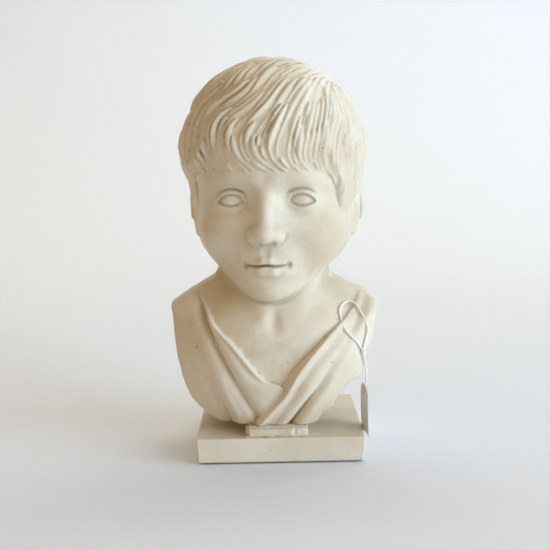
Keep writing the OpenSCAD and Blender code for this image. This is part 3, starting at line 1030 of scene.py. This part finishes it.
def capped_tube(name, rings):
    """A tube through rings of points, closed with a fan at each end."""
    count, sides = rings.shape[:2]
    ring = np.arange(sides)
    after = (ring + 1) % sides
    start = (np.arange(count - 1) * sides)[:, None]
    quads = np.stack((start + ring, start + after, start + sides + after, start + sides + ring), -1)
    quads = quads.reshape(-1, 4)
    points = np.vstack((rings.reshape(-1, 3), rings[0].mean(0), rings[-1].mean(0)))
    top, first_middle = (count - 1) * sides, count * sides
    bottom_fan = np.stack((after, ring, np.full(sides, first_middle)), -1)
    top_fan = np.stack((top + ring, top + after, np.full(sides, first_middle + 1)), -1)
    faces = (quads[:, [0, 1, 2]], quads[:, [0, 2, 3]], bottom_fan, top_fan)
    return mesh_from(name, points, np.concatenate(faces))


def make_rod():
    """A threaded rod: rings of points whose radius follows the thread up and round."""
    sides, steps = 24, 8
    radius = (ROD_HIGH[0] - ROD_LOW[0]) / 2
    heights = np.append(np.arange(ROD_LOW[2], ROD_HIGH[2], THREAD_PITCH / steps), ROD_HIGH[2])
    angles = np.arange(sides) * 2 * math.pi / sides
    z, angle = np.meshgrid(heights, angles, indexing="ij")
    turn = (z / THREAD_PITCH - angle / (2 * math.pi)) % 1
    thread = np.abs(2 * turn - 1)
    end = np.minimum(z - ROD_LOW[2], ROD_HIGH[2] - z)
    r = radius - THREAD_DEPTH * ramp(1 - thread, 0.1, 0.8) - 0.8 * ramp(-end, -1, 0)
    rings = np.stack((ROD_X + r * np.cos(angle), ROD_Y + r * np.sin(angle), z), -1)
    return capped_tube("threaded_rod_m8", rings)


def nut_field(p):
    x, y, z = p[0] - ROD_X, p[1] - ROD_Y, p[2]
    flats = -1e9
    for index in range(3):
        angle = math.radians(60 * index + 30)
        flats = np.maximum(flats, np.abs(x * math.cos(angle) + y * math.sin(angle)) - NUT_HALF_FLATS)
    out = np.hypot(x, y)
    face = past_span(z, NUT_LOW[2], NUT_HIGH[2])
    body = np.maximum(flats, face)
    body = np.maximum(body, (out - NUT_CHAMFER_START + face * 1.7) * 0.5)
    return np.maximum(body, NUT_BORE_RADIUS - out - 0.6 * ramp(face, -1, 0))


def washer_field(p):
    low, high = node_box("penny_washer")
    out = from_rod(p)
    rim = np.maximum(out - (high[0] - low[0]) / 2, ROD_HOLE_RADIUS - out)
    return meet(rim, past_span(p[2], low[2], high[2]), 0.6)


def grout_field(p):
    out = from_rod(p)
    body = np.maximum(out - GROUT_RADIUS + 0.2, np.maximum(GROUT_LOW[2] - p[2], p[2] - GROUT_HIGH[2]))
    body = body + 0.08 * ripple(p, 4, 41)
    hole = np.maximum(out - (ROD_HIGH[0] - ROD_LOW[0]) / 2, p[2] - ROD_HIGH[2])
    return np.maximum(body, -hole)


# ---------------------------------------------------------------- Swing tag

# The string's route: a loop that lies on the shoulder, closed by its knot, then down to the card's eyelet.
# It repeats part.scad. Most of its points are a scratch program's, not chosen by hand.
STRING_ROUTE = (
    (0.0727, -0.0489, 0.0930), (0.0677, -0.0517, 0.1010), (0.0620, -0.0517, 0.1069),
    (0.0574, -0.0495, 0.1124), (0.0550, -0.0407, 0.1188), (0.0541, -0.0319, 0.1257),
    (0.0576, -0.0233, 0.1299), (0.0635, -0.0188, 0.1315), (0.0690, -0.0223, 0.1295),
    (0.0730, -0.0290, 0.1235), (0.0765, -0.0372, 0.1162), (0.0780, -0.0399, 0.1102),
    (0.0771, -0.0420, 0.1055), (0.0745, -0.0465, 0.0980), (0.0733, -0.0502, 0.0924),
    (0.0746, -0.0492, 0.0834), (0.0756, -0.0482, 0.0740), (0.0755, -0.0466, 0.0650),
    (0.0742, -0.0445, 0.0570),
)
STRING_DIAMETER = 0.0021
STRING_LAY = 3.6
STRING_SIDES = 10
KNOT_SIZE = 0.62
KNOT_STRAND = 1.6


def twisted_tube(name, curve, diameter, sides):
    """A string of two twisted strands along a curve in millimetres."""
    along = np.gradient(curve, axis=0)
    along /= np.linalg.norm(along, axis=1)[:, None]
    outward = np.cross(along, (0.2, -1.0, 0.1))
    outward /= np.linalg.norm(outward, axis=1)[:, None]
    other = np.cross(along, outward)
    travelled = np.concatenate(([0], np.cumsum(np.linalg.norm(np.diff(curve, axis=0), axis=1))))
    angles = np.arange(sides) * 2 * math.pi / sides
    twist = 2 * math.pi * travelled / STRING_LAY
    waist = np.abs(np.cos(angles[None] - twist[:, None]))
    radius = diameter / 2 * (0.66 + 0.34 * waist)
    ring = radius[..., None] * (np.cos(angles)[None, :, None] * outward[:, None]
                                + np.sin(angles)[None, :, None] * other[:, None])
    return capped_tube(name, curve[:, None] + ring)


def make_string():
    curve = smooth_route(STRING_ROUTE, 30) / MM
    return twisted_tube("tag_string_cotton", curve, STRING_DIAMETER / MM, STRING_SIDES)


def make_knot():
    """An overhand knot, drawn tight where the loop's two strands meet."""
    centre = np.array(STRING_ROUTE[-5]) / MM
    t = np.linspace(0, 2 * math.pi, 121)
    knot = np.stack((np.sin(t) + 2 * np.sin(2 * t), 0.9 * -np.sin(3 * t), np.cos(t) - 2 * np.cos(2 * t)), -1)
    return twisted_tube("tag_string_knot", centre + knot[:-1] * KNOT_SIZE, KNOT_STRAND, 8)


EYELET = np.array(STRING_ROUTE[-1]) / MM
TAG_TURN = math.radians(8)
TAG_WIDTH, TAG_HEIGHT, TAG_THICKNESS = 27, 44, 0.6
EYELET_BELOW_TOP = 5
EYELET_HOLE_RADIUS = 2.0
TAG_CLIPPED_CORNER = 6
TAG_STRETCH = 6.0


def at_eyelet(points):
    """From the card's own axes (out, across, down) to its place under the eyelet."""
    out, across, down = points[:, 0], points[:, 1], points[:, 2]
    c, s = math.cos(TAG_TURN), math.sin(TAG_TURN)
    place = (EYELET[0] + c * out - s * across, EYELET[1] + s * out + c * across, EYELET[2] - down)
    return np.stack(place, -1)


def card_field(q):
    out, across, down = q
    half = TAG_WIDTH / 2
    sheet = slab((0 * out, across, down), (-9, -half, -EYELET_BELOW_TOP),
                 (9, half, TAG_HEIGHT - EYELET_BELOW_TOP), 1.2)
    clipped = (np.abs(across) - half + TAG_CLIPPED_CORNER - (down + EYELET_BELOW_TOP)) * 0.707
    sheet = np.maximum(sheet, clipped)
    sheet = np.maximum(sheet, EYELET_HOLE_RADIUS - np.hypot(across, down))
    return meet(sheet, np.abs(out) - TAG_THICKNESS / 2 * TAG_STRETCH, 0.8)


def bend_card(points):
    """Thin again, with the slight curl of old card."""
    across, down = points[:, 1], points[:, 2]
    curl = 0.0009 * np.maximum(down - 4, 0) ** 2 - 0.0016 * across ** 2 * ramp(down, 4, 30)
    return at_eyelet(np.stack((points[:, 0] / TAG_STRETCH + curl, across, down), -1))


def make_card():
    low = (-4, -TAG_WIDTH / 2 - 3, -EYELET_BELOW_TOP - 3)
    high = (4, TAG_WIDTH / 2 + 3, TAG_HEIGHT - EYELET_BELOW_TOP + 3)
    return sculpt("tag_card_blank", card_field, low, high, 0.7, 1.2, shape=bend_card)


def eyelet_field(q):
    """A rolled metal ring through the card."""
    out, across, down = q
    round_out = np.hypot(across, down)
    lip = np.hypot(round_out - 2.35, (np.abs(out) - 0.35) * 1.6) - 0.62
    return join(lip, np.maximum(np.abs(round_out - 1.75) - 0.22, np.abs(out) - 0.5), 0.2)


def make_eyelet():
    return sculpt("tag_eyelet_ring", eyelet_field, (-3, -5, -5), (3, 5, 5), 0.25, 0.6, shape=at_eyelet)


# ---------------------------------------------------------------- Materials

class Paint:
    """A material, put together one node at a time. Its patterns keep to the object's own coordinates."""

    def __init__(self, name, roughness, **settings):
        self.material = bpy.data.materials.new(name)
        self.material.use_nodes = True
        self.tree = self.material.node_tree
        self.shader = self.tree.nodes["Principled BSDF"]
        self.shader.inputs["Roughness"].default_value = roughness
        for socket, value in settings.items():
            self.shader.inputs[socket.replace("_", " ")].default_value = value
        self.place = self.tree.nodes.new("ShaderNodeTexCoord").outputs["Object"]

    def node(self, kind, inputs, output=0, **settings):
        made = self.tree.nodes.new(kind)
        for name, value in settings.items():
            setattr(made, name, value)
        for socket, value in inputs.items():
            if isinstance(value, bpy.types.NodeSocket):
                self.tree.links.new(value, made.inputs[socket])
            else:
                made.inputs[socket].default_value = value
        return made.outputs[output]

    def noise(self, scale, detail=4, roughness=0.55):
        inputs = {"Vector": self.place, "Scale": scale, "Detail": detail, "Roughness": roughness}
        return self.node("ShaderNodeTexNoise", inputs, "Fac")

    def cells(self, scale):
        return self.node("ShaderNodeTexVoronoi", {"Vector": self.place, "Scale": scale}, "Distance")

    def part_of(self, value, start, end, most=1.0):
        """0 before start and most after end, with a smooth rise between them."""
        inputs = {"Value": value, "From Min": start, "From Max": end, "To Min": 0.0, "To Max": most}
        return self.node("ShaderNodeMapRange", inputs, interpolation_type="SMOOTHSTEP")

    def maths(self, operation, a, b):
        return self.node("ShaderNodeMath", {0: a, 1: b}, operation=operation)

    def scaled(self, value, factor, offset=0.0):
        """The value times a factor, plus an offset that may be another value."""
        return self.maths("ADD", self.maths("MULTIPLY", value, factor), offset)

    def attribute(self, name):
        return self.node("ShaderNodeAttribute", {}, "Fac", attribute_name=name)

    def mix(self, share, below, above):
        colours = {6: colour_of(below), 7: colour_of(above)}
        return self.node("ShaderNodeMix", {0: share, **colours}, 2, data_type="RGBA")

    def distance_from(self, point):
        gap = self.node("ShaderNodeVectorMath", {0: self.place, 1: point}, operation="SUBTRACT")
        return self.node("ShaderNodeVectorMath", {0: gap}, "Value", operation="LENGTH")

    def finish(self, colour, height=None, relief=0.0, roughness=None):
        """Joins the patterns to the shader. The relief is how deep the height pattern looks, in metres."""
        self.tree.links.new(colour, self.shader.inputs["Base Color"])
        if roughness is not None:
            self.tree.links.new(roughness, self.shader.inputs["Roughness"])
        if height is not None:
            inputs = {"Height": height, "Distance": relief, "Strength": 1.0}
            normal = self.node("ShaderNodeBump", inputs, "Normal")
            self.tree.links.new(normal, self.shader.inputs["Normal"])
        return self.material


def colour_of(value):
    return value if isinstance(value, bpy.types.NodeSocket) else (*value, 1)


def stone(name, light, deep, stain_amount, dirt_and_shade_amount, dust_and_shade_amount):
    """Aged stone: mottled, with stains; dust and painted shade on its upward faces, dirt and painted shade
    in its hollows, dirt in its pits, and paler on its edges.
    """
    paint = Paint(name, 0.6, Subsurface_Weight=0.12, Subsurface_Scale=0.004)
    broad = paint.noise(13, 4)
    fine = paint.noise(150, 6, 0.65)
    grain = paint.noise(900, 3, 0.6)
    colour = paint.mix(paint.part_of(broad, 0.34, 0.66), light, deep)
    colour = paint.mix(paint.part_of(fine, 0.46, 0.74, 0.4), colour, deep)
    patches = paint.part_of(paint.noise(21, 7, 0.68), 0.50, 0.66, stain_amount)
    colour = paint.mix(patches, colour, TAN)
    # Upward faces darker: dust, and painted shade where the tops lie in shade.
    normal = paint.node("ShaderNodeNewGeometry", {}, "Normal")
    up = paint.node("ShaderNodeSeparateXYZ", {0: normal}, "Z")
    colour = paint.mix(paint.part_of(up, 0.68, 0.98, dust_and_shade_amount), colour, DUST_AND_SHADE)
    # Hollows darker: dirt, and painted shade in creases such as under the chin.
    hollow = paint.attribute("hollow")
    colour = paint.mix(paint.part_of(hollow, 0.05, 0.78, dirt_and_shade_amount), colour, SOIL_AND_SHADE)
    colour = paint.mix(paint.part_of(hollow, -0.05, -0.7, 0.4), colour, light)
    pits = paint.part_of(paint.cells(120), 0.10, 0.04)
    chosen = paint.part_of(paint.noise(60, 2), 0.55, 0.62)
    specks = paint.maths("MULTIPLY", pits, chosen)
    holes = paint.maths("MAXIMUM", specks, paint.part_of(paint.attribute("pit"), 0.25, 0.9))
    colour = paint.mix(paint.maths("MULTIPLY", holes, 0.75), colour, SOIL_AND_SHADE)
    height = paint.scaled(fine, 0.7, paint.maths("MULTIPLY", grain, 0.25))
    return paint, colour, paint.maths("SUBTRACT", height, specks), paint.scaled(fine, 0.3, 0.45)


CREAM = (0.80, 0.745, 0.635)
BEIGE = (0.72, 0.64, 0.50)
TAN = (0.62, 0.50, 0.35)
# Soil colour: dirt in pits and hollows, and painted shade in the hollows
SOIL_AND_SHADE = (0.36, 0.265, 0.16)
# The paler tone of the support block's right end
PALE_RIGHT_END = (0.80, 0.78, 0.73)
# Dust colour, also painted shade on upward faces
DUST_AND_SHADE = (0.56, 0.485, 0.37)
# Centres of the brown patches: a stain by the jaw, a stain with painted shade on the left shoulder, painted
# shade on the crown.
JAW_STAIN = (0.048, -0.045, 0.185)
SHOULDER_STAIN_AND_SHADE = (-0.084, 0.0, 0.135)
CROWN_SHADE = (-0.022, -0.03, 0.335)


def stain_and_shade_patch(paint, colour, centre, end, full):
    """A soft brown patch round a point, which fades raggedly between the two distances. At the jaw it is a
    stain, on the left shoulder a stain with painted shade, on the crown painted shade.
    """
    spread = paint.scaled(paint.noise(38, 6, 0.7), 0.045, paint.distance_from(centre))
    return paint.mix(paint.part_of(spread, end, full, 0.55), colour, TAN)


def bust_stone():
    paint, colour, height, roughness = stone("carved_stone_aged", CREAM, BEIGE, 0.38, 0.70, 0.5)
    colour = stain_and_shade_patch(paint, colour, JAW_STAIN, 0.062, 0.040)
    # The left shoulder's patch is stain and painted shade; the crown's is painted shade.
    colour = stain_and_shade_patch(paint, colour, SHOULDER_STAIN_AND_SHADE, 0.079, 0.042)
    colour = stain_and_shade_patch(paint, colour, CROWN_SHADE, 0.090, 0.050)
    return paint.finish(colour, height, 0.0007, roughness)


def block_stone():
    light, deep = (0.74, 0.67, 0.54), (0.67, 0.59, 0.46)
    paint, colour, height, roughness = stone("block_stone_rough", light, deep, 0.3, 0.45, 0.2)
    # The block is painted paler towards its right end.
    side = paint.node("ShaderNodeSeparateXYZ", {0: paint.place}, "X")
    side = paint.scaled(paint.noise(120), 0.012, side)
    colour = paint.mix(paint.part_of(side, 0.014, 0.018, 0.85), colour, PALE_RIGHT_END)
    return paint.finish(colour, height, 0.0012, roughness)


def base_stone():
    light, deep = (0.80, 0.755, 0.655), (0.74, 0.675, 0.55)
    # The base's top is darkened by dust and painted shade.
    paint, colour, height, roughness = stone("base_stone_honed", light, deep, 0.22, 0.5, 0.5)
    return paint.finish(colour, height, 0.00025, roughness)


def plaster():
    paint = Paint("setting_plaster", 0.85)
    tone = paint.noise(90, 5, 0.6)
    colour = paint.mix(paint.part_of(tone, 0.35, 0.7), (0.74, 0.68, 0.56), (0.60, 0.53, 0.41))
    return paint.finish(colour, paint.noise(700, 4), 0.0005)


def steel():
    paint = Paint("zinc_steel", 0.38, Metallic=1.0)
    tone = paint.noise(160, 5, 0.6)
    colour = paint.mix(paint.part_of(tone, 0.4, 0.65), (0.56, 0.57, 0.59), (0.42, 0.41, 0.40))
    return paint.finish(colour, paint.noise(1500, 2), 0.00005, paint.scaled(tone, 0.3, 0.25))


def felt_cloth():
    paint = Paint("wool_felt", 0.95, Sheen_Weight=0.5, Sheen_Roughness=0.6)
    fibres = paint.noise(1400, 5, 0.75)
    colour = paint.mix(fibres, (0.018, 0.050, 0.030), (0.060, 0.120, 0.075))
    return paint.finish(colour, fibres, 0.0006)


def cotton():
    paint = Paint("cotton_string_white", 0.85, Sheen_Weight=0.3)
    fibres = paint.noise(2600, 4, 0.7)
    colour = paint.mix(fibres, (0.90, 0.91, 0.92), (0.97, 0.97, 0.97))
    return paint.finish(colour, fibres, 0.00012)


def card_paper():
    paint = Paint("manila_card_white", 0.7)
    fibres = paint.noise(900, 6, 0.7)
    smudge = paint.part_of(paint.noise(40, 3), 0.5, 0.75, 0.5)
    colour = paint.mix(fibres, (0.70, 0.70, 0.70), (0.78, 0.78, 0.78))
    colour = paint.mix(smudge, colour, (0.62, 0.61, 0.59))
    return paint.finish(colour, fibres, 0.00008)


def brass():
    paint = Paint("eyelet_brass", 0.32, Metallic=1.0)
    tone = paint.noise(500, 4)
    colour = paint.mix(paint.part_of(tone, 0.4, 0.7), (0.80, 0.62, 0.30), (0.52, 0.38, 0.18))
    return paint.finish(colour, tone, 0.00003, paint.scaled(tone, 0.3, 0.2))


# ---------------------------------------------------------------- Backdrop

def backdrop_paper():
    paint = Paint("backdrop_paper", 0.9)
    tone = paint.noise(2.0, 2)
    return paint.finish(paint.mix(tone, (0.755, 0.80, 0.875), (0.785, 0.83, 0.905)))


def make_backdrop():
    """A sheet of paper that runs along the floor and curves up into the wall."""
    floor_front, floor_back, bend, top, half_width = -4.0, 1.1, 0.8, 4.0, 4.5
    profile = [(floor_front, 0.0), (floor_back, 0.0)]
    for step in range(1, 17):
        angle = math.radians(90) * step / 16
        profile.append((floor_back + bend * math.sin(angle), bend - bend * math.cos(angle)))
    profile.append((floor_back + bend, top))
    points = [(x, y, z) for y, z in profile for x in (-half_width, half_width)]
    faces = [(2 * i, 2 * i + 1, 2 * i + 3, 2 * i + 2) for i in range(len(profile) - 1)]
    mesh = bpy.data.meshes.new("backdrop")
    mesh.from_pydata(points, [], faces)
    for face in mesh.polygons:
        face.use_smooth = True
    backdrop = bpy.data.objects.new("backdrop", mesh)
    bpy.context.collection.objects.link(backdrop)
    backdrop.data.materials.append(backdrop_paper())


# ---------------------------------------------------------------- The object

def place_piece(thing, material, node=None):
    thing.data.materials.append(material)
    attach(thing, BODY)
    if node is not None:
        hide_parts(node)
    return thing


make_camera()
COTTON = cotton()
string = place_piece(make_string(), COTTON, "tag_string")
knot = place_piece(make_knot(), COTTON)
card = place_piece(make_card(), card_paper(), "tag_card")
eyelet = place_piece(make_eyelet(), brass(), "tag_eyelet")
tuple(STRING_ROUTE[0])

make_lights()
make_world()
make_backdrop()
place_piece(make_bust(), bust_stone(), "bust")
block = sculpt("support_block_rough", block_field, BLOCK_LOW - 4, BLOCK_HIGH + 4, 0.7, 2.0)
place_piece(block, block_stone(), "support_block")
base = sculpt("base_slab_honed", base_field, BASE_LOW - 3, BASE_HIGH + 3, 1.3, 1.5, slack=3.0)
place_piece(base, base_stone(), "base_slab")
PLASTER = plaster()
place_piece(make_bed("upper_bed_plaster", "upper_setting_bed", 43), PLASTER, "upper_setting_bed")
place_piece(make_bed("lower_bed_plaster", "lower_setting_bed", 44), PLASTER, "lower_setting_bed")
grout = sculpt("grout_plug_cast", grout_field, GROUT_LOW - 2, GROUT_HIGH + 2, 1.0, 1.0)
place_piece(grout, PLASTER, "grout_plug")
STEEL = steel()
place_piece(make_rod(), STEEL, "threaded_rod")
nut = sculpt("hex_nut_m8", nut_field, NUT_LOW - 1, NUT_HIGH + 1, 0.35, 0.6)
place_piece(nut, STEEL, "hex_nut")
WASHER_LOW, WASHER_HIGH = node_box("penny_washer")
washer = sculpt("penny_washer_steel", washer_field, WASHER_LOW - 1, WASHER_HIGH + 1, 0.4, 0.5)
place_piece(washer, STEEL, "penny_washer")
felt = sculpt_sheet("felt_pad", "felt_sheet", felt_field, 1.4)
place_piece(felt, felt_cloth(), "felt_sheet")
